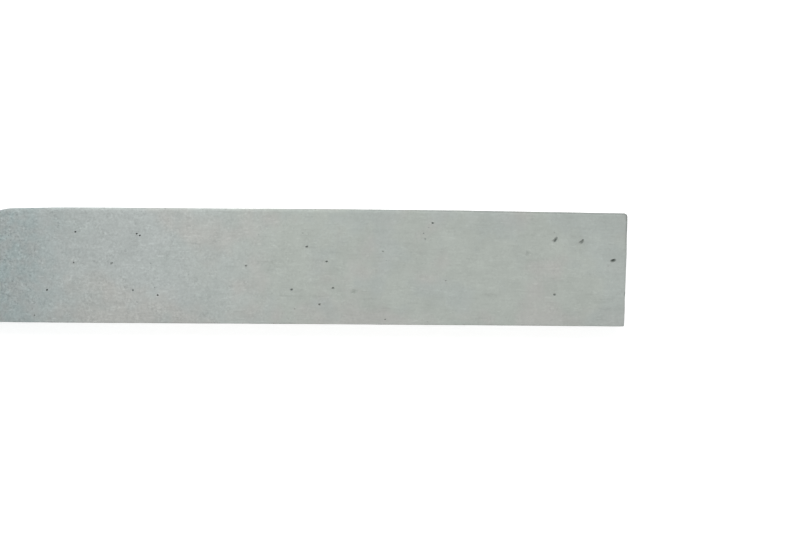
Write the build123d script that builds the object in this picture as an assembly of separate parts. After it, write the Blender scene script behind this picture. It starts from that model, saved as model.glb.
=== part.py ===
"""Hand whetstone: one sawn and dressed bar of natural fine-grained stone.

The bar lies on its bench face, with the honing face up. X runs along the bar, from the worn
nose at -X to the square-sawn end at +X. The origin is the middle of the bar's bounding
rectangle, on the bench face. All lengths are in millimetres and all angles in degrees.
"""

from build123d import *

import os
from math import asin, degrees, radians, tan

# Driving dimensions of the bar.
LENGTH = 203.0
WIDTH = 35.0
THICKNESS = 14.0

# The bowed side is straight along the middle of the bar. Over SQUARE_STRETCH it falls back in an
# arc, by SQUARE_DROP at the square end, whose saw cut is SQUARE_SKEW out of square.
SQUARE_STRETCH = 110.0
SQUARE_DROP = 0.7
SQUARE_SKEW = 1.5

# The other end is worn: seen from above, the bowed side curves in to the nose, and seen from the
# side, the honing face runs down to it. The nose's end stands NOSE_BOW proud of its corners.
NOSE_STRETCH = 43.0
NOSE_PLAN_RADIUS = 800.0
NOSE_FACE_RADIUS = 600.0
NOSE_BOW = 1.0

# Upright corners, as seen from above.
NOSE_BOWED_CORNER = 16.0
NOSE_STRAIGHT_CORNER = 5.0
SQUARE_BOWED_CORNER = 1.2
SQUARE_STRAIGHT_CORNER = 0.4

# The long edges of the bar are eased, the honing face's a little more than the bench face's.
HONING_ARRIS = 0.6
BENCH_ARRIS = 0.4

NOSE_X = -LENGTH / 2
SQUARE_X = LENGTH / 2
STRAIGHT_SIDE_Y = -WIDTH / 2
BOWED_SIDE_Y = WIDTH / 2
NOSE_START_X = NOSE_X + NOSE_STRETCH
SQUARE_START_X = SQUARE_X - SQUARE_STRETCH


def arc_turn(radius: float, stretch: float) -> float:
    """How far, in degrees, an arc of this radius has turned where it has run on by stretch."""
    return degrees(asin(stretch / radius))


def plan_outline() -> Sketch:
    """The bar's outline seen from above, with its four upright corners rounded."""
    bowed_side = Line((SQUARE_START_X, BOWED_SIDE_Y), (NOSE_START_X, BOWED_SIDE_Y))
    run_in = JernArc(
        start=bowed_side @ 1,
        tangent=(-1, 0),
        radius=NOSE_PLAN_RADIUS,
        arc_size=arc_turn(NOSE_PLAN_RADIUS, NOSE_STRETCH - NOSE_BOW),
    )
    square_radius = (SQUARE_STRETCH**2 + SQUARE_DROP**2) / (2 * SQUARE_DROP)
    fall_back = JernArc(
        start=bowed_side @ 0,
        tangent=(1, 0),
        radius=square_radius,
        arc_size=-arc_turn(square_radius, SQUARE_STRETCH),
    )
    skew_x = (WIDTH - SQUARE_DROP) * tan(radians(SQUARE_SKEW))

    nose_top = run_in @ 1
    nose_foot = Vector(nose_top.X, STRAIGHT_SIDE_Y)
    nose_bow = SagittaArc(nose_top, nose_foot, -NOSE_BOW)
    straight_side = Line(nose_foot, (SQUARE_X - skew_x, STRAIGHT_SIDE_Y))
    square_end = Line(straight_side @ 1, fall_back @ 1)
    outline = make_face([bowed_side, run_in, nose_bow, straight_side, square_end, fall_back])

    corners = {
        NOSE_BOWED_CORNER: nose_top,
        NOSE_STRAIGHT_CORNER: nose_foot,
        SQUARE_BOWED_CORNER: square_end @ 1,
        SQUARE_STRAIGHT_CORNER: square_end @ 0,
    }
    for corner_radius, place in corners.items():
        corner = outline.vertices().sort_by_distance(place)[0]
        outline = fillet(corner, corner_radius)
    return outline


def side_outline() -> Sketch:
    """The bar's outline seen from the side, in the XZ plane: flat below, running down to the nose."""
    honing_line = Line((SQUARE_X, THICKNESS), (NOSE_START_X, THICKNESS))
    run_out = JernArc(
        start=honing_line @ 1,
        tangent=(-1, 0),
        radius=NOSE_FACE_RADIUS,
        arc_size=arc_turn(NOSE_FACE_RADIUS, NOSE_STRETCH),
    )
    nose_line = Line(run_out @ 1, (NOSE_X, 0))
    bench_line = Line((NOSE_X, 0), (SQUARE_X, 0))
    square_line = Line((SQUARE_X, 0), (SQUARE_X, THICKNESS))
    return make_face([honing_line, run_out, nose_line, bench_line, square_line])


def rim_edges(bar: Part, faces: ShapeList) -> ShapeList:
    """Edges where the given faces meet the bar's upright sides."""
    other_edges = [edge for face in bar.faces() - faces for edge in face.edges()]
    own_edges = [edge for face in faces for edge in face.edges()]
    return ShapeList(edge for edge in own_edges if any(edge.is_same(other) for other in other_edges))


def whetstone() -> Part:
    """The whole stone: the plan and side outlines' common solid, with its arrises eased."""
    upright = extrude(plan_outline(), THICKNESS)
    lengthwise = extrude(Plane.XZ * side_outline(), WIDTH, both=True)
    bar = upright & lengthwise

    bench_face = bar.faces().sort_by(Axis.Z)[:1]
    bar = fillet(rim_edges(bar, bench_face), BENCH_ARRIS)
    honing_faces = bar.faces().filter_by(lambda face: face.normal_at().Z > 0.9)
    return fillet(rim_edges(bar, honing_faces), HONING_ARRIS)


os.makedirs("parts", exist_ok=True)
export_step(whetstone(), "parts/whetstone.step")
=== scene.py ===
"""The whetstone's looks: one bar of natural stone, as a dense mesh with a procedural material.

The mesh stands for the CAD node. It is a quad lattice over the whole bar, eased along its edges
and bent to the bar's outline, with real pores and chips cut out of it. X runs along the bar from
the worn nose to the square end, Y across it towards the bowed side, and Z up out of the honing
face. Lengths are metres, written as so many MM.
"""

from math import radians, tan

import bmesh
import bpy
import numpy as np
from mathutils import Matrix, Vector, noise
from mathutils.bvhtree import BVHTree


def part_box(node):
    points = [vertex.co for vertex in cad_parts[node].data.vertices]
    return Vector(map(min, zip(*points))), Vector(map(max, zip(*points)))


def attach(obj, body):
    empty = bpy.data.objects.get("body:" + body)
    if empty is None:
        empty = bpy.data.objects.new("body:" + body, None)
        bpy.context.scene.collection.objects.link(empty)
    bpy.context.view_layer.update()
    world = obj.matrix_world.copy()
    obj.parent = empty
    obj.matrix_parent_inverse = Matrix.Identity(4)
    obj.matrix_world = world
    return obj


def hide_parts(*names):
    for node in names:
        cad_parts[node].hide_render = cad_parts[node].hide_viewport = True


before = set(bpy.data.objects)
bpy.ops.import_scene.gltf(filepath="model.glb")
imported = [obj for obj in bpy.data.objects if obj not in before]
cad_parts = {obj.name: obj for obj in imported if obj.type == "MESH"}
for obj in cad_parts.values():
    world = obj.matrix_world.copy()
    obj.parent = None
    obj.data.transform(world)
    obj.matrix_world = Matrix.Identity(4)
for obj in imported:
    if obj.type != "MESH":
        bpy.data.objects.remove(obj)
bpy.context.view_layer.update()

MM = 0.001
LOW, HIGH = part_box("whetstone")
LENGTH, WIDTH, THICKNESS = HIGH - LOW
MIDDLE = (LOW + HIGH) / 2

# The bar's outline, as the CAD solid has it. The corners' radii are for the bowed side, 1, and for
# the straight side, -1.
NOSE_STRETCH = 43 * MM
NOSE_START_X = LOW.x + NOSE_STRETCH
NOSE_PLAN_RADIUS = 800 * MM
NOSE_FACE_RADIUS = 600 * MM
NOSE_BOW = 1.0 * MM
NOSE_CORNERS = {1: 16 * MM, -1: 5 * MM}
SQUARE_STRETCH = 110 * MM
SQUARE_START_X = HIGH.x - SQUARE_STRETCH
SQUARE_DROP = 0.7 * MM
SQUARE_PLAN_RADIUS = (SQUARE_STRETCH ** 2 + SQUARE_DROP ** 2) / (2 * SQUARE_DROP)
SQUARE_SKEW = radians(1.5)
SQUARE_CORNERS = {1: 1.2 * MM, -1: 0.4 * MM}

# How far in from its end the nose's bow and the square end's skew are felt.
END_REACH = 30 * MM

# Honing has worn the face down by HONED_FALL at the straight side, over its last HONED_EDGE.
HONED_EDGE = 9 * MM
HONED_FALL = 0.2 * MM

# The lattice. Its lines are about CELL apart, and closer within ARRIS_ZONE of an edge, where
# ARRIS_LINES are their places as shares of the zone.
CELL = 0.95 * MM
ARRIS_ZONE = 1.4 * MM
ARRIS_LINES = (0, 0.08, 0.17, 0.27, 0.39, 0.54, 0.74, 1)

# How far the bar's edges are eased above and below, and the least and most of that at any place.
HONING_ARRIS = 0.6 * MM
BENCH_ARRIS = 0.4 * MM
WEAR_LIMITS = (0.25, 2.2)

# Uneven wear of those edges: how long its longer and shorter waves are, and how far from the middle,
# towards the square end, the bowed side's extra wear has dropped to half.
LONG_WEAR = 14 * MM
SHORT_WEAR = 3 * MM
WEAR_STRETCH = 45 * MM

# How long the faces' swells and their shorter marks are, and how near the nose end the marks start
# to be deeper, and are deepest.
SWELL_LENGTH = 38 * MM
MARK_LENGTH = 7 * MM
NOSE_MARKS_BEGIN = 34 * MM
NOSE_MARKS_FULL = 4 * MM

# How much of a normal must point along an axis for its place to count as part of that face: below
# the first value not at all, and above the second one fully.
BROAD_FACE = (0.7, 0.95)
END_FACE = (0.5, 0.9)

# The camera looks straight down on the honing face. Its view is VIEW_WIDTH across at that face.
FOCAL_LENGTH = 100
SENSOR_WIDTH = 36
VIEW_WIDTH = 241.8 * MM
VIEW_CENTRE = (32.65 * MM, 0.17 * MM)
VIEW_ROLL = radians(0.4)

# Material slots of the mesh.
WORKED, PORE, BROKEN = range(3)

# The mesh's record of how far each point lies below the bar's uncut surface, in metres.
DEPTH = "cut_depth"

# Faces that meet at more than this angle are shaded with a sharp edge between them.
SHARP_ANGLE = radians(38)

# The shape's noise: how much its finer layers fade, how much finer each layer is than the last, and
# how far apart the noises of two seeds are taken.
NOISE_FALLOFF = 0.8
NOISE_STEP = 2.0
SEED_OFFSET = Vector((17.3, 5.9, 11.7))

# Stands in for zero where something is divided by a length.
TINY = 1e-9


# ---------------------------------------------------------------- the bar's shape

def smoothstep(low, high, value):
    """0 below low, 1 above high, and a smooth rise between them."""
    share = np.clip((value - low) / (high - low), 0, 1)
    return share * share * (3 - 2 * share)


def fractal(points, size, seed, octaves=3):
    """Smooth noise of about -1 to 1 at each point, with lumps of the given size."""
    offset = SEED_OFFSET * seed
    places = [Vector(point) / size + offset for point in points]
    return np.array([noise.fractal(place, NOISE_FALLOFF, NOISE_STEP, octaves) for place in places])


def lattice_stops(length):
    """Places of the lattice lines across a length: close together at both ends, then even."""
    near_end = ARRIS_ZONE * np.array(ARRIS_LINES)
    cells = round((length - 2 * ARRIS_ZONE) / CELL)
    between = np.linspace(ARRIS_ZONE, length - ARRIS_ZONE, cells + 1)[1:-1]
    return np.concatenate([near_end, between, length - near_end[::-1]]) - length / 2


def box_lattice(stops):
    """A closed quad lattice over a box: its points, and its quads as point numbers."""
    numbers = {}
    quads = []
    for axis in range(3):
        across, along = (axis + 1) % 3, (axis + 2) % 3
        for side in (0, len(stops[axis]) - 1):
            for i in range(len(stops[across]) - 1):
                for j in range(len(stops[along]) - 1):
                    quad = []
                    for step_i, step_j in ((0, 0), (1, 0), (1, 1), (0, 1)):
                        place = [side] * 3
                        place[across] = i + step_i
                        place[along] = j + step_j
                        quad.append(numbers.setdefault(tuple(place), len(numbers)))
                    quads.append(quad if side else quad[::-1])
    places = np.array(list(numbers))
    points = np.column_stack([stops[axis][places[:, axis]] for axis in range(3)])
    return points, quads


def ease_rims(points, half):
    """Rounds the box's top and bottom edges, more in some places than in others.

    Above, the bowed side's edge is worn most, above all in the nose half, and the straight side's
    least.
    """
    wear = 1 + 0.35 * fractal(points, LONG_WEAR, 1) + 0.3 * fractal(points, SHORT_WEAR, 2)
    across = points[:, 1] / half[1] * (points[:, 2] > 0)
    square_half = smoothstep(0, WEAR_STRETCH, points[:, 0])
    wear += np.maximum(across, 0) * (1 - 0.5 * square_half)
    wear += 0.5 * np.minimum(across, 0)
    radius = np.where(points[:, 2] > 0, HONING_ARRIS, BENCH_ARRIS) * np.clip(wear, *WEAR_LIMITS)

    plan_depth = np.minimum(half[0] - abs(points[:, 0]), half[1] - abs(points[:, 1]))
    rise_depth = half[2] - abs(points[:, 2])
    plan_part = np.maximum(radius - plan_depth, 0)
    rise_part = np.maximum(radius - rise_depth, 0)
    near_rim = (plan_part > 0) & (rise_part > 0)
    pull = np.where(near_rim, radius / np.maximum(np.hypot(plan_part, rise_part), TINY), 1)
    plan_depth = np.where(plan_part > 0, radius - plan_part * pull, plan_depth)
    rise_depth = np.where(rise_part > 0, radius - rise_part * pull, rise_depth)

    eased = points.copy()
    for axis in (0, 1):
        limit = half[axis] - plan_depth
        eased[:, axis] = np.clip(points[:, axis], -limit, limit)
    eased[:, 2] = np.sign(points[:, 2]) * (half[2] - rise_depth)
    return eased


def round_corner(points, half, end, side, radius):
    """Bends one upright corner of the box round an arc of this radius, seen from above."""
    out_x = points[:, 0] * end - (half[0] - radius)
    out_y = points[:, 1] * side - (half[1] - radius)
    inside = (out_x > 0) & (out_y > 0)
    reach = np.maximum(out_x, out_y) / np.maximum(np.hypot(out_x, out_y), TINY)
    bent = points.copy()
    bent[:, 0] = np.where(inside, end * (half[0] - radius + out_x * reach), points[:, 0])
    bent[:, 1] = np.where(inside, side * (half[1] - radius + out_y * reach), points[:, 1])
    return bent


def arc_drop(stretch, radius):
    """How far an arc of this radius has left a straight line where it has run on by stretch."""
    return radius - np.sqrt(radius ** 2 - np.maximum(stretch, 0) ** 2)


def bowed_side_y(x):
    """Where the bowed side stands at each x: straight in the middle, falling back to both ends."""
    nose_drop = arc_drop(NOSE_START_X - x, NOSE_PLAN_RADIUS)
    return HIGH.y - nose_drop - arc_drop(x - SQUARE_START_X, SQUARE_PLAN_RADIUS)


def honing_face_z(x):
    """How high the honing face is at each x: level, then running down to the nose."""
    return HIGH.z - arc_drop(NOSE_START_X - x, NOSE_FACE_RADIUS)


def bend_to_outline(points, half):
    """Takes the eased box to the bar's real outline."""
    x, y, z = points.T
    share_y = (y / half[1] + 1) / 2
    share_z = (z / half[2] + 1) / 2
    skew = (1 - share_y) * WIDTH * tan(SQUARE_SKEW) * smoothstep(half[0] - END_REACH, half[0], x)
    bow = NOSE_BOW * (y / half[1]) ** 2 * smoothstep(half[0] - END_REACH, half[0], -x)
    x = x - skew + bow + MIDDLE.x
    y = LOW.y + share_y * (bowed_side_y(x) - LOW.y)
    near_straight_side = np.maximum(LOW.y + HONED_EDGE - y, 0) / HONED_EDGE
    z = LOW.z + share_z * (honing_face_z(x) - HONED_FALL * near_straight_side ** 2 - LOW.z)
    return np.column_stack([x, y, z])


def roughen(mesh):
    """Makes the surface a little uneven, as sawn and rubbed stone is, but only inwards underneath."""
    points = np.empty(len(mesh.vertices) * 3)
    normals = np.empty(len(mesh.vertices) * 3)
    mesh.vertices.foreach_get("co", points)
    mesh.vertices.foreach_get("normal", normals)
    points = points.reshape(-1, 3)
    normals = normals.reshape(-1, 3)

    honed = smoothstep(*BROAD_FACE, normals[:, 2])
    bench = smoothstep(*BROAD_FACE, -normals[:, 2])
    ends = smoothstep(*END_FACE, abs(normals[:, 0]))
    nose = smoothstep(-LOW.x - NOSE_MARKS_BEGIN, -LOW.x - NOSE_MARKS_FULL, -points[:, 0])
    swell = (0.06 - 0.04 * honed - 0.02 * bench + 0.04 * ends) * MM
    marks = (0.025 - 0.018 * honed + 0.04 * ends + 0.03 * nose) * MM
    rise = swell * fractal(points, SWELL_LENGTH, 3) + marks * fractal(points, MARK_LENGTH, 4)
    rise -= (swell + marks) * bench
    points += normals * rise[:, None]
    mesh.vertices.foreach_set("co", points.ravel())
    mesh.update()


def bar_mesh():
    """The whole bar with eased edges and slightly uneven faces, before anything is cut from it."""
    half = (LENGTH / 2, WIDTH / 2, THICKNESS / 2)
    points, quads = box_lattice([lattice_stops(2 * reach) for reach in half])
    points = ease_rims(points, half)
    for side in (1, -1):
        points = round_corner(points, half, -1, side, NOSE_CORNERS[side])
        points = round_corner(points, half, 1, side, SQUARE_CORNERS[side])
    mesh = bpy.data.meshes.new("whetstone_bar")
    mesh.from_pydata(bend_to_outline(points, half).tolist(), [], quads)
    mesh.update()
    roughen(mesh)
    return mesh


# ---------------------------------------------------------------- pores and chips

# Kinds of pore: length, width and depth.
SLOT = (2.2 * MM, 1.1 * MM, 0.24 * MM)
PIT = (0.9 * MM, 0.7 * MM, 0.24 * MM)
PINHOLE = (0.6 * MM, 0.5 * MM, 0.45 * MM)
DIMPLE = (2.3 * MM, 1.7 * MM, 0.1 * MM)

# The few pores on the honing face that the eye finds first, placed to half a millimetre. Each is
# its kind, its distances from the square end and the bowed side in millimetres, and its turn in
# degrees.
PORES = (
    (SLOT, 4.5, 14.5, 14),
    (SLOT, 14, 9, 34),
    (SLOT, 22, 8.5, 36),
    (PIT, 22, 25, 0),
    (DIMPLE, 30, 13, 130),
    (PIT, 59, 4, 0),
    (DIMPLE, 82.5, 25, 15),
    (PIT, 89, 24, 0),
    (PIT, 91, 16, 0),
    (PIT, 93, 29, 10),
    (PIT, 97, 11.5, 10),
    (PIT, 101.5, 24.5, 0),
    (PINHOLE, 142, 26.5, 0),
    (PINHOLE, 147.5, 8.5, 50),
    (PINHOLE, 148.5, 8, 0),
    (PIT, 156, 17, 60),
    (PINHOLE, 167, 7.5, 20),
    (PINHOLE, 175.5, 25, 10),
)

# How finely the ball is divided that a lump is made from: FINE for chips and for all but the small
# pores, which are ROUGH.
FINE = 3
ROUGH = 2

# The scattered pores, large and then small: how many, their usual and greatest length in millimetres,
# their fineness, and the share of their number and depth that the honing face keeps.
SCATTERED_PORES = (
    (120, 0.6, 0.8, FINE, 0.5),
    (420, 0.33, 0.55, ROUGH, 0.6),
)

# A scattered pore's width and depth, as shares of its length, and the spread of that length.
PORE_WIDTHS = (0.5, 0.9)
PORE_DEPTHS = (0.3, 0.6)
PORE_SPREAD = 0.3

# On the four long faces, this share of the scattered pores are kept to the stretch of the bar next
# to the nose, which is this share of its length. A power above 1 crowds them towards the nose end.
CROWDED_SHARE = 0.35
CROWDED_STRETCH = 0.35
CROWDING_POWER = 1.5

# The chips in the long edges and in the ends' edges: how many, and their usual length and bite in
# millimetres. HONED_CHIP is the size of those in the honing face's long edges against the others.
# CHIP_SPREAD is how much the sizes vary, and GREATEST_CHIP is the greatest, against the usual one.
CHIPS = 46
CHIP_LENGTH = 1.2
CHIP_BITE = 0.32
HONED_CHIP = 0.55
END_CHIPS = 14
END_CHIP_LENGTH = 1.1
END_CHIP_BITE = 0.3
CHIP_SPREAD = 0.35
GREATEST_CHIP = 2

# The chips in the long edges keep this far from the nose end and from the square end, and those in
# the ends' edges this near the middle.
NOSE_UNCHIPPED = 8 * MM
SQUARE_UNCHIPPED = 2 * MM
END_CHIPPED = 12 * MM

# A chip goes where the bar is nearest to a point that stands this far out, and this far above or
# below the bar's middle, which is always on an edge.
FAR_OUT = 60 * MM
FAR_UP = 42 * MM
FAR_UP_AT_END = 66 * MM

# A chip's lump stands out of the edge by CHIP_LIFT bites, and is CHIP_WIDTH bites wide.
CHIP_LIFT = 0.4
CHIP_WIDTH = 2.6

# Every lump keeps KEPT_CLEAR of its longest size free around it, and has dents of about DENTS of its
# radius that are about DENT_SIZE radii wide. One that is longer than STRAIGHT_LIMIT widths is bent,
# by BEND for each further width, and is then shifted back by BEND_SHIFT of that.
KEPT_CLEAR = 0.7
DENTS = 0.4
DENT_SIZE = 1.1
STRAIGHT_LIMIT = 1.6
BEND = 0.6
BEND_SHIFT = 0.3

# A pore is looked for from this far outside the bar.
OUTSIDE = 10 * MM

# A direction with at least this much of X in it faces out of an end.
ENDWARD = 0.7

RANDOM_SEED = 41


def unit_ball(fineness):
    """Points and triangles of a ball of radius 1."""
    ball = bmesh.new()
    bmesh.ops.create_icosphere(ball, subdivisions=fineness, radius=1)
    points = np.array([vertex.co[:] for vertex in ball.verts])
    faces = [[vertex.index for vertex in face.verts] for face in ball.faces]
    ball.free()
    return points, faces


def facing(outward):
    """The turn that takes Z to this direction and keeps X along the bar, or across it on an end."""
    along = Vector((0, 1, 0)) if abs(outward.x) > ENDWARD else Vector((1, 0, 0))
    across = outward.cross(along).normalized()
    return Matrix((across.cross(outward), across, outward)).transposed()


class Cutters:
    """Uneven lumps that are cut out of the bar, with none touching another."""

    def __init__(self, bar):
        corners = [vertex.co for vertex in bar.vertices]
        self.surface = BVHTree.FromPolygons(corners, [face.vertices[:] for face in bar.polygons])
        self.balls = {fineness: unit_ball(fineness) for fineness in (ROUGH, FINE)}
        self.random = np.random.default_rng(RANDOM_SEED)
        self.points = []
        self.faces = []
        self.slots = []
        self.taken = []

    def add(self, place, outward, size, turn, slot, fineness):
        """Adds one lump of this length, width and half height, unless another is in its way.

        A long lump is bent like a bean.
        """
        reach = max(size) * KEPT_CLEAR
        if any((place - other).length < reach + other_reach for other, other_reach in self.taken):
            return
        self.taken.append((place, reach))
        ball, triangles = self.balls[fineness]
        lump = ball * (1 + DENTS * fractal(ball, DENT_SIZE, len(self.taken), 2))[:, None]
        bend = BEND * max(size[0] / size[1] - STRAIGHT_LIMIT, 0)
        lump[:, 1] += bend * (lump[:, 0] ** 2 - BEND_SHIFT)
        lump = lump * (size[0] / 2, size[1] / 2, size[2])
        turned = facing(outward) @ Matrix.Rotation(turn, 3, "Z")
        start = len(self.points)
        self.points.extend((lump @ np.array(turned).T + np.array(place)).tolist())
        self.faces.extend([start + corner for corner in triangle] for triangle in triangles)
        self.slots.extend([slot] * len(triangles))

    def add_pore(self, over, towards, size, turn, fineness):
        """Adds a pore where a line from over, going towards the bar, meets its surface."""
        place, outward, _, _ = self.surface.ray_cast(over, towards)
        if place is not None:
            self.add(place, outward, size, turn, PORE, fineness)

    def add_chip(self, beside, length, bite):
        """Adds a chip in the edge nearest to a point that is well outside the bar."""
        place, _, _, _ = self.surface.find_nearest(beside)
        outward = (beside - place).normalized()
        size = (length, bite * CHIP_WIDTH, bite)
        self.add(place + outward * bite * CHIP_LIFT, outward, size, 0, BROKEN, FINE)

    def scatter_pores(self, count, usual, greatest, fineness, honed_share):
        """Adds pores over all six faces, by area, with lengths in millimetres.

        On the honing face they have only honed_share of the usual number and depth.
        """
        areas = np.array([WIDTH * THICKNESS, LENGTH * THICKNESS, LENGTH * WIDTH]).repeat(2)
        areas[-1] *= honed_share
        for face in self.random.choice(len(areas), count, p=areas / areas.sum()):
            axis, side = divmod(int(face), 2)
            away = 2 * side - 1
            over = Vector(self.random.uniform(LOW, HIGH))
            if axis and self.random.random() < CROWDED_SHARE:
                over.x = LOW.x + LENGTH * CROWDED_STRETCH * self.random.random() ** CROWDING_POWER
            over[axis] = (LOW, HIGH)[side][axis] + away * OUTSIDE
            towards = Vector((0, 0, 0))
            towards[axis] = -away
            length = np.clip(self.random.lognormal(np.log(usual), PORE_SPREAD), 0, greatest) * MM
            width = length * self.random.uniform(*PORE_WIDTHS)
            depth = length * self.random.uniform(*PORE_DEPTHS)
            if axis == 2 and side:
                depth *= honed_share
            turn = self.random.uniform(0, 2 * np.pi)
            self.add_pore(over, towards, (length, width, depth), turn, fineness)

    def mesh(self):
        """All the lumps as one mesh."""
        mesh = bpy.data.meshes.new("whetstone_cutters")
        mesh.from_pydata(self.points, [], self.faces)
        mesh.polygons.foreach_set("material_index", self.slots)
        mesh.update()
        return mesh


def cutters_for(bar):
    """Every pore and chip of the stone: the listed pores, then random chips, then random pores."""
    cutters = Cutters(bar)
    down = Vector((0, 0, -1))
    for kind, from_end, from_side, turn in PORES:
        x = HIGH.x - from_end * MM
        over = Vector((x, bowed_side_y(x) - from_side * MM, HIGH.z + OUTSIDE))
        cutters.add_pore(over, down, kind, radians(turn), FINE)
    for _ in range(CHIPS):
        side, level = cutters.random.choice((-1, 1), 2)
        x = cutters.random.uniform(LOW.x + NOSE_UNCHIPPED, HIGH.x - SQUARE_UNCHIPPED)
        beside = Vector((x, side * FAR_OUT, MIDDLE.z + level * FAR_UP))
        size = min(cutters.random.lognormal(0, CHIP_SPREAD), GREATEST_CHIP)
        size *= HONED_CHIP if level > 0 else 1
        cutters.add_chip(beside, CHIP_LENGTH * size * MM, CHIP_BITE * size * MM)
    for _ in range(END_CHIPS):
        end, level = cutters.random.choice((-1, 1), 2)
        y = cutters.random.uniform(-END_CHIPPED, END_CHIPPED)
        beside = Vector((end * (HIGH.x + FAR_OUT), y, MIDDLE.z + level * FAR_UP_AT_END))
        size = min(cutters.random.lognormal(0, CHIP_SPREAD), GREATEST_CHIP)
        cutters.add_chip(beside, END_CHIP_LENGTH * size * MM, END_CHIP_BITE * size * MM)
    for kind in SCATTERED_PORES:
        cutters.scatter_pores(*kind)
    return cutters


def link(name, data):
    """A new object in the scene."""
    item = bpy.data.objects.new(name, data)
    bpy.context.scene.collection.objects.link(item)
    return item


def whetstone(materials):
    """The finished stone: the bar less its pores and chips."""
    bar = bar_mesh()
    for material in materials:
        bar.materials.append(material)
    stone = link("honed_stone_bar", bar)
    cutters = cutters_for(bar)
    lumps = link("cutters", cutters.mesh())
    cut = stone.modifiers.new("pores and chips", "BOOLEAN")
    cut.object = lumps
    cut.operation = "DIFFERENCE"
    cut.solver = "EXACT"
    depsgraph = bpy.context.evaluated_depsgraph_get()
    finished = bpy.data.meshes.new_from_object(stone.evaluated_get(depsgraph))
    stone.modifiers.clear()
    stone.data = finished
    bpy.data.objects.remove(lumps)
    finished.polygons.foreach_set("use_smooth", [True] * len(finished.polygons))
    finished.set_sharp_from_angle(angle=SHARP_ANGLE)
    depths = [cutters.surface.find_nearest(vertex.co)[3] for vertex in finished.vertices]
    finished.attributes.new(DEPTH, "FLOAT", "POINT").data.foreach_set("value", depths)
    return stone


# ---------------------------------------------------------------- materials

# How far apart in the fourth dimension the grains of one material are drawn.
GRAIN_SEED_STEP = 7.3


def linear(red, green, blue):
    """An sRGB colour, from 0 to 255, as the linear RGBA that shaders take."""
    channels = np.array([red, green, blue]) / 255
    return (*np.where(channels <= 0.04045, channels / 12.92, ((channels + 0.055) / 1.055) ** 2.4), 1)


class Field:
    """A number that varies over the stone: a node's output, with arithmetic."""

    def __init__(self, shader, socket):
        self.shader = shader
        self.socket = socket

    def __add__(self, other):
        return self.shader.math("ADD", self, other)

    def __mul__(self, other):
        return self.shader.math("MULTIPLY", self, other)

    def __sub__(self, other):
        return self.shader.math("SUBTRACT", self, other)

    def __rsub__(self, other):
        return self.shader.math("SUBTRACT", other, self)

    def __neg__(self):
        return self * -1

    __radd__ = __add__
    __rmul__ = __mul__


class Shader:
    """A material's nodes, built by calls that read like a formula."""

    def __init__(self, name):
        self.material = bpy.data.materials.new(name)
        self.material.use_nodes = True
        self.tree = self.material.node_tree
        self.tree.nodes.clear()
        coordinates = self.add("TexCoord")
        self.place = coordinates.outputs["Object"]
        split = self.add("SeparateXYZ", {"Vector": self.place})
        self.x = Field(self, split.outputs["X"])
        self.y = Field(self, split.outputs["Y"])
        normal = self.add("SeparateXYZ", {"Vector": coordinates.outputs["Normal"]})
        self.facing_up = Field(self, normal.outputs["Z"])
        self.seed = 0

    def add(self, kind, inputs=None, **settings):
        """A node with these settings, and these values or links on its inputs."""
        node = self.tree.nodes.new("ShaderNode" + kind)
        for setting, value in settings.items():
            setattr(node, setting, value)
        for name, value in (inputs or {}).items():
            value = value.socket if isinstance(value, Field) else value
            if isinstance(value, bpy.types.NodeSocket):
                self.tree.links.new(value, node.inputs[name])
            else:
                node.inputs[name].default_value = value
        return node

    def math(self, operation, first, second):
        """One step of arithmetic on fields or numbers."""
        return Field(self, self.add("Math", {0: first, 1: second}, operation=operation).outputs[0])

    def rise(self, value, low, high):
        """0 where value is below low, 1 where it is above high, and a smooth rise between."""
        inputs = {"Value": value, "From Min": low, "From Max": high}
        return Field(self, self.add("MapRange", inputs, interpolation_type="SMOOTHSTEP").outputs[0])

    def grain(self, size, detail=2.0, roughness=0.5):
        """Noise of about -1 to 1 with lumps of this size, or of these sizes along X, Y and Z."""
        sizes = size if isinstance(size, tuple) else (size, size, size)
        inputs = {0: self.place, 1: [1 / each for each in sizes]}
        scaled = self.add("VectorMath", inputs, operation="MULTIPLY").outputs[0]
        self.seed += 1
        inputs = {
            "Vector": scaled,
            "W": self.seed * GRAIN_SEED_STEP,
            "Scale": 1,
            "Detail": detail,
            "Roughness": roughness,
        }
        return Field(self, self.add("TexNoise", inputs, noise_dimensions="4D").outputs[0]) * 2 - 1

    def blend(self, share, first, second):
        """The first colour where share is 0, and the second where it is 1."""
        return self.add("MixRGB", {"Fac": share, "Color1": first, "Color2": second}).outputs["Color"]

    def finish(self, colour, tone, roughness, height, specular=0.3):
        """The material: this colour times its tone, with its bump from a height in metres."""
        inputs = {"Fac": 1.0, "Color1": colour, "Color2": tone}
        toned = self.add("MixRGB", inputs, blend_type="MULTIPLY").outputs["Color"]
        bump = self.add("Bump", {"Strength": 1.0, "Distance": 1.0, "Height": height})
        inputs = {
            "Base Color": toned,
            "Roughness": roughness,
            "Normal": bump.outputs[0],
            "Specular IOR Level": specular,
        }
        surface = self.add("BsdfPrincipled", inputs)
        self.add("OutputMaterial", {"Surface": surface.outputs[0]})
        return self.material


GREEN_GREY = linear(169, 175, 169)
PINK_GREY = linear(173, 174, 170)
BLUE_GREY = linear(167, 174, 171)
COOL_GREY = linear(169, 175, 173)
NOSE_GREY = linear(152, 159, 158)
NOSE_BLUE = linear(147, 160, 160)
# The darkest colour deep in a pore: settled dust and painted shade.
PORE_DUST_AND_SHADE = linear(80, 86, 82)
FLOOR_WHITE = (0.85, 0.85, 0.85, 1)
FLOOR_GLOW_COLOUR = (1, 1, 1, 1)
FLOOR_GLOW = 0.62
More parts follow.
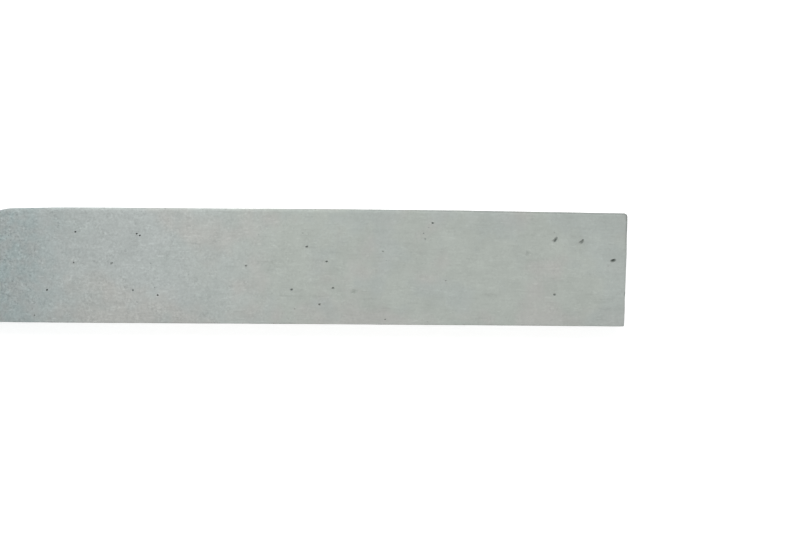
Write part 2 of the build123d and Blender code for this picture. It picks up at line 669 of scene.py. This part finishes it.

# Each pair from here to the depths at the end is a stretch over which something sets in: none of it at
# the first value, and all of it at the second. These four are distances from the middle, towards the
# nose.
NOSE_STONE = (56 * MM, 96 * MM)
COOL_STONE = (-5 * MM, 42 * MM)
LESS_HONED = (-20 * MM, 60 * MM)
# A painted highlight by the bowed side and painted shade by the straight side set in over this stretch.
PAINTED_LIGHT_NOSE = (-15 * MM, 30 * MM)

# Distances from the middle, towards the square end.
SQUARE_HALF = (0.0, 40 * MM)
BLUE_END = (84 * MM, 97 * MM)
# Painted shade on the bowed side's upper edge, and a little on the face beside it, sets in over this
# stretch.
BOWED_SHADE_END = (-10 * MM, 60 * MM)
# Painted shade on the straight side's upper edge sets in over this stretch.
STRAIGHT_SHADE_END = (55 * MM, 85 * MM)

# Distances from the middle, towards the straight side.
PINK_SIDE = (8 * MM, 17 * MM)
# Painted shade on the straight side's upper edge sets in over this stretch across.
STRAIGHT_SHADE_SIDE = (10 * MM, 16 * MM)
# Painted shade by the straight side sets in over this stretch across.
PAINTED_SHADE_SIDE = (9 * MM, 17 * MM)

# Distances from the middle, towards the bowed side.
BLUE_SIDE = (9 * MM, 16 * MM)
# Painted shade on the bowed side's upper edge sets in over this stretch across.
BOWED_SHADE_SIDE = (0.0, 16 * MM)
# A painted highlight by the bowed side sets in over this stretch across.
PAINTED_HIGHLIGHT_SIDE = (11 * MM, 17 * MM)

# How far up a surface faces: the Z of its normal.
HONED_TILT = (0.75, 0.97)
UPRIGHT_TILT = (0.0, 0.3)
ARRIS_TOP = (0.8, 0.995)
ARRIS_FOOT = (0.05, 0.35)

# Levels of a grain, which runs from about -1 to 1.
SOFT_PATCH = (0.0, 0.4)
EVEN_PATCH = (-0.25, 0.25)
BUSY_PATCH = (-0.25, 0.45)
SPECK = (0.25, 0.5)
LONG_MARK = (0.2, 0.5)

# Depths below the surface over which a pore darkens, as settled dust and as painted shade.
DUST_AND_SHADE_DEPTH = (0.02 * MM, 0.33 * MM)

# Sizes along X, Y and Z: three kinds of marks that run along the bar, its level beds, and the
# upright lines that a saw leaves.
DASH_SIZE = (4.5 * MM, 0.6 * MM, 0.6 * MM)
FLECK_SIZE = (2 * MM, 0.55 * MM, 0.55 * MM)
STREAK_SIZE = (6 * MM, 0.8 * MM, 0.8 * MM)
BEDDING_SIZE = (26 * MM, 26 * MM, 0.9 * MM)
SAW_LINE_SIZE = (0.45 * MM, 0.45 * MM, 25 * MM)

# The tone's plain layers, from broad patches to fine streaks: how strong and how large each is.
TONE_LAYERS = (
    (0.07, 20 * MM),
    (0.09, 5 * MM),
    (0.05, 1.8 * MM),
    (0.06, STREAK_SIZE),
)

# Heights of the bump: of the worked faces' grain, and what coarse stone adds to it; of their waves,
# and what sawing adds to those; of the saw lines; and of the grain in pores and chips.
GRAIN_BUMP = 0.004 * MM
COARSE_BUMP = 0.014 * MM
WAVE_BUMP = 0.01 * MM
SAWN_BUMP = 0.02 * MM
SAW_LINE_BUMP = 0.02 * MM
PORE_BUMP = 0.02 * MM
BROKEN_BUMP = 0.03 * MM


def towards_nose(shader):
    """How far a place is into the darker, coarser stone of the nose: 0 to 1, with a ragged start."""
    ragged = 7 * MM * shader.grain(16 * MM) + 3 * MM * shader.grain(3 * MM)
    return shader.rise(ragged - shader.x, *NOSE_STONE)


def stone_colour(shader, nose):
    """The stone's own colour: green-grey, cooler towards the nose, with faint soft patches.

    More patches are blue by the square end and along the bowed side, and pink by the straight side.
    """
    cool = shader.rise(14 * MM * shader.grain(18 * MM) - shader.x, *COOL_STONE)
    colour = shader.blend(cool, GREEN_GREY, COOL_GREY)
    straight_side = shader.rise(-shader.y, *PINK_SIDE)
    pink = shader.rise(shader.grain(13 * MM) + 0.3 * straight_side, *SOFT_PATCH)
    colour = shader.blend(0.8 * pink, colour, PINK_GREY)
    square_end = shader.rise(shader.x, *BLUE_END)
    bowed_side = shader.rise(shader.x, *SQUARE_HALF) * shader.rise(shader.y, *BLUE_SIDE)
    blue = shader.rise(shader.grain(10 * MM) + 0.4 * square_end + 0.3 * bowed_side, *SOFT_PATCH)
    colour = shader.blend(0.6 * blue, colour, BLUE_GREY)
    bluer = shader.rise(shader.grain(4.5 * MM), *EVEN_PATCH)
    return shader.blend(nose, colour, shader.blend(bluer, NOSE_GREY, NOSE_BLUE))


def stone_tone(shader, coarse):
    """How light or dark each place is: 1 on the whole, and more uneven where the stone is coarse."""
    busy = shader.rise(shader.grain(3.5 * MM), *BUSY_PATCH)
    grains = shader.grain(0.6 * MM, 3.0, 0.65) * (0.6 + 0.9 * busy)
    dashes = shader.rise(shader.grain(DASH_SIZE, 1.0), *LONG_MARK)
    specks = shader.rise(shader.grain(0.7 * MM, 1.0), *SPECK)
    flecks = shader.rise(shader.grain(FLECK_SIZE, 1.0), *LONG_MARK)
    bedding = shader.grain(BEDDING_SIZE, 3.0, 0.6)
    tone = 1
    for strength, size in TONE_LAYERS:
        tone = tone + strength * shader.grain(size)
    tone = tone + (0.16 + 0.57 * coarse) * grains + 0.08 * coarse * bedding
    return tone - 0.08 * specks - 0.06 * dashes + (0.09 + 0.12 * coarse) * flecks


def worked_stone():
    """Sawn and rubbed stone: smooth on the honing face, and coarser everywhere else.

    Its upper edges carry painted shade towards the square end, on the bowed side and, nearer the end,
    on the straight side, and its upright sides a little painted shade all over. Towards the nose, the
    face has a painted highlight by the bowed side and painted shade by the straight side.
    """
    shader = Shader("worked_stone")
    nose = towards_nose(shader)
    sawn = 1 - shader.rise(shader.facing_up, *HONED_TILT)
    less_honed = 0.45 * shader.rise(-shader.x, *LESS_HONED)
    coarse = shader.math("MAXIMUM", shader.math("MAXIMUM", 0.36 * sawn, less_honed), nose)
    upright = 1 - shader.rise(shader.facing_up, *UPRIGHT_TILT)
    saw_lines = shader.grain(SAW_LINE_SIZE, 3.0)
    height = (GRAIN_BUMP + COARSE_BUMP * coarse) * shader.grain(0.5 * MM, 3.0, 0.6)
    height = height + (WAVE_BUMP + SAWN_BUMP * sawn) * shader.grain(2.5 * MM)
    height = height + SAW_LINE_BUMP * upright * saw_lines
    arris = (1 - shader.rise(shader.facing_up, *ARRIS_TOP)) * shader.rise(shader.facing_up, *ARRIS_FOOT)
    # Painted shade on the upper edges: by the bowed side towards the square end, and by the straight
    # side nearer that end.
    painted_shade_bowed = shader.rise(shader.x, *BOWED_SHADE_END) * shader.rise(shader.y, *BOWED_SHADE_SIDE)
    painted_shade_straight = shader.rise(shader.x, *STRAIGHT_SHADE_END) * shader.rise(-shader.y, *STRAIGHT_SHADE_SIDE)
    # Painted light across the face towards the nose: a painted highlight by the bowed side, painted
    # shade by the straight side.
    across = shader.rise(shader.y, *PAINTED_HIGHLIGHT_SIDE) - shader.rise(-shader.y, *PAINTED_SHADE_SIDE)
    painted_light_across = across * shader.rise(-shader.x, *PAINTED_LIGHT_NOSE)
    roughness = 0.72 + 0.12 * coarse + 0.06 * shader.grain(3 * MM)
    # The face's painted highlight and shade towards the nose, and a little painted shade by the bowed
    # side towards the square end.
    tone = stone_tone(shader, coarse) * (1 + 0.02 * painted_light_across - 0.015 * painted_shade_bowed)
    # The upper edges darkened as painted shade.
    tone = tone * (1 - 0.3 * arris * (painted_shade_bowed + 0.7 * painted_shade_straight))
    # The upright sides get painted shade, a little darker all over; the saw lines on them are the
    # stone's own marks.
    tone = tone * (0.94 + 0.06 * (1 - upright) + 0.1 * upright * saw_lines)
    return shader.finish(stone_colour(shader, nose), tone, roughness, height)


def pore_stone():
    """The inside of a pore: clean stone at its rim, and darker further down, as settled dust and oil
    and as painted shade.
    """
    shader = Shader("pore_stone")
    depth = Field(shader, shader.add("Attribute", attribute_name=DEPTH).outputs["Fac"])
    # Dust and painted shade: the deeper a place in a pore, the darker it is.
    dust_and_painted_shade = shader.rise(depth + 0.03 * MM * shader.grain(0.3 * MM), *DUST_AND_SHADE_DEPTH)
    colour = shader.blend(dust_and_painted_shade, stone_colour(shader, towards_nose(shader)), PORE_DUST_AND_SHADE)
    tone = 1 + 0.3 * shader.grain(0.8 * MM) + 0.3 * shader.grain(0.2 * MM)
    return shader.finish(colour, tone, 0.9, PORE_BUMP * shader.grain(0.2 * MM), 0.15)


def broken_stone():
    """A chip's broken surface: the same stone, a little darker and much rougher."""
    shader = Shader("broken_stone")
    colour = stone_colour(shader, towards_nose(shader))
    height = BROKEN_BUMP * shader.grain(0.5 * MM, 3.0, 0.6)
    return shader.finish(colour, 0.9 * stone_tone(shader, 1), 0.9, height, 0.2)


def pale_floor():
    """The floor: plain white, and lit a little from within, as on a light table."""
    shader = Shader("pale_floor")
    inputs = {
        "Base Color": FLOOR_WHITE,
        "Roughness": 0.9,
        "Emission Color": FLOOR_GLOW_COLOUR,
        "Emission Strength": FLOOR_GLOW,
    }
    surface = shader.add("BsdfPrincipled", inputs)
    shader.add("OutputMaterial", {"Surface": surface.outputs[0]})
    return shader.material


# ---------------------------------------------------------------- the studio

# The floor's radius in metres, and how many corners it has.
FLOOR_RADIUS = 8
FLOOR_CORNERS = 96

# The soft box: its place and width in metres, and its power in watts.
KEY_PLACE = (-0.05, 0.3, 0.5)
KEY_WIDTH = 0.36
KEY_POWER = 2.35

# How bright the sky is at each height: the sine of its angle above the horizon, then its level.
SKY = ((0.03, 1), (0.13, 0.73), (0.8, 0.4))


def lay_floor():
    """A wide round floor under the stone."""
    disc = bmesh.new()
    bmesh.ops.create_circle(disc, cap_ends=True, segments=FLOOR_CORNERS, radius=FLOOR_RADIUS)
    mesh = bpy.data.meshes.new("floor")
    disc.to_mesh(mesh)
    disc.free()
    mesh.materials.append(pale_floor())
    floor = link("floor", mesh)
    floor.location.z = LOW.z


def light_sky():
    """A white sky, as bright as the floor at the horizon and dimmer overhead."""
    world = bpy.data.worlds.new("studio")
    world.use_nodes = True
    bpy.context.scene.world = world
    tree = world.node_tree
    background = tree.nodes["Background"]
    direction = tree.nodes.new("ShaderNodeTexCoord").outputs["Generated"]
    split = tree.nodes.new("ShaderNodeSeparateXYZ")
    tree.links.new(direction, split.inputs[0])
    ramp = tree.nodes.new("ShaderNodeValToRGB")
    # The ramp comes with two stops, and SKY needs three. The loop puts all of them in their places.
    ramp.color_ramp.elements.new(0.5)
    for stop, (height, level) in zip(ramp.color_ramp.elements, SKY):
        stop.position = height
        stop.color = (level, level, level, 1)
    tree.links.new(split.outputs["Z"], ramp.inputs["Fac"])
    tree.links.new(ramp.outputs["Color"], background.inputs["Color"])
    background.inputs["Strength"].default_value = 1


def soft_light(name, place, width, power):
    """A square soft box that faces the stone."""
    light = bpy.data.lights.new(name, "AREA")
    light.size = width
    light.energy = power
    box = link(name, light)
    box.location = place
    box.rotation_euler = Vector(place).to_track_quat("Z", "Y").to_euler()


def set_camera():
    """A camera straight above the stone, towards its square end, so that the nose is out of view."""
    data = bpy.data.cameras.new("camera")
    data.lens = FOCAL_LENGTH
    data.sensor_width = SENSOR_WIDTH
    camera = link("camera", data)
    distance = VIEW_WIDTH * FOCAL_LENGTH / SENSOR_WIDTH
    camera.location = (*VIEW_CENTRE, HIGH.z + distance)
    camera.rotation_euler.z = VIEW_ROLL
    bpy.context.scene.camera = camera


# ---------------------------------------------------------------- the scene

stone = whetstone((worked_stone(), pore_stone(), broken_stone()))
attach(stone, "root")
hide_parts("whetstone")

lay_floor()
light_sky()
soft_light("key_light", KEY_PLACE, KEY_WIDTH, KEY_POWER)
set_camera()
bpy.context.scene.view_settings.view_transform = "Standard"
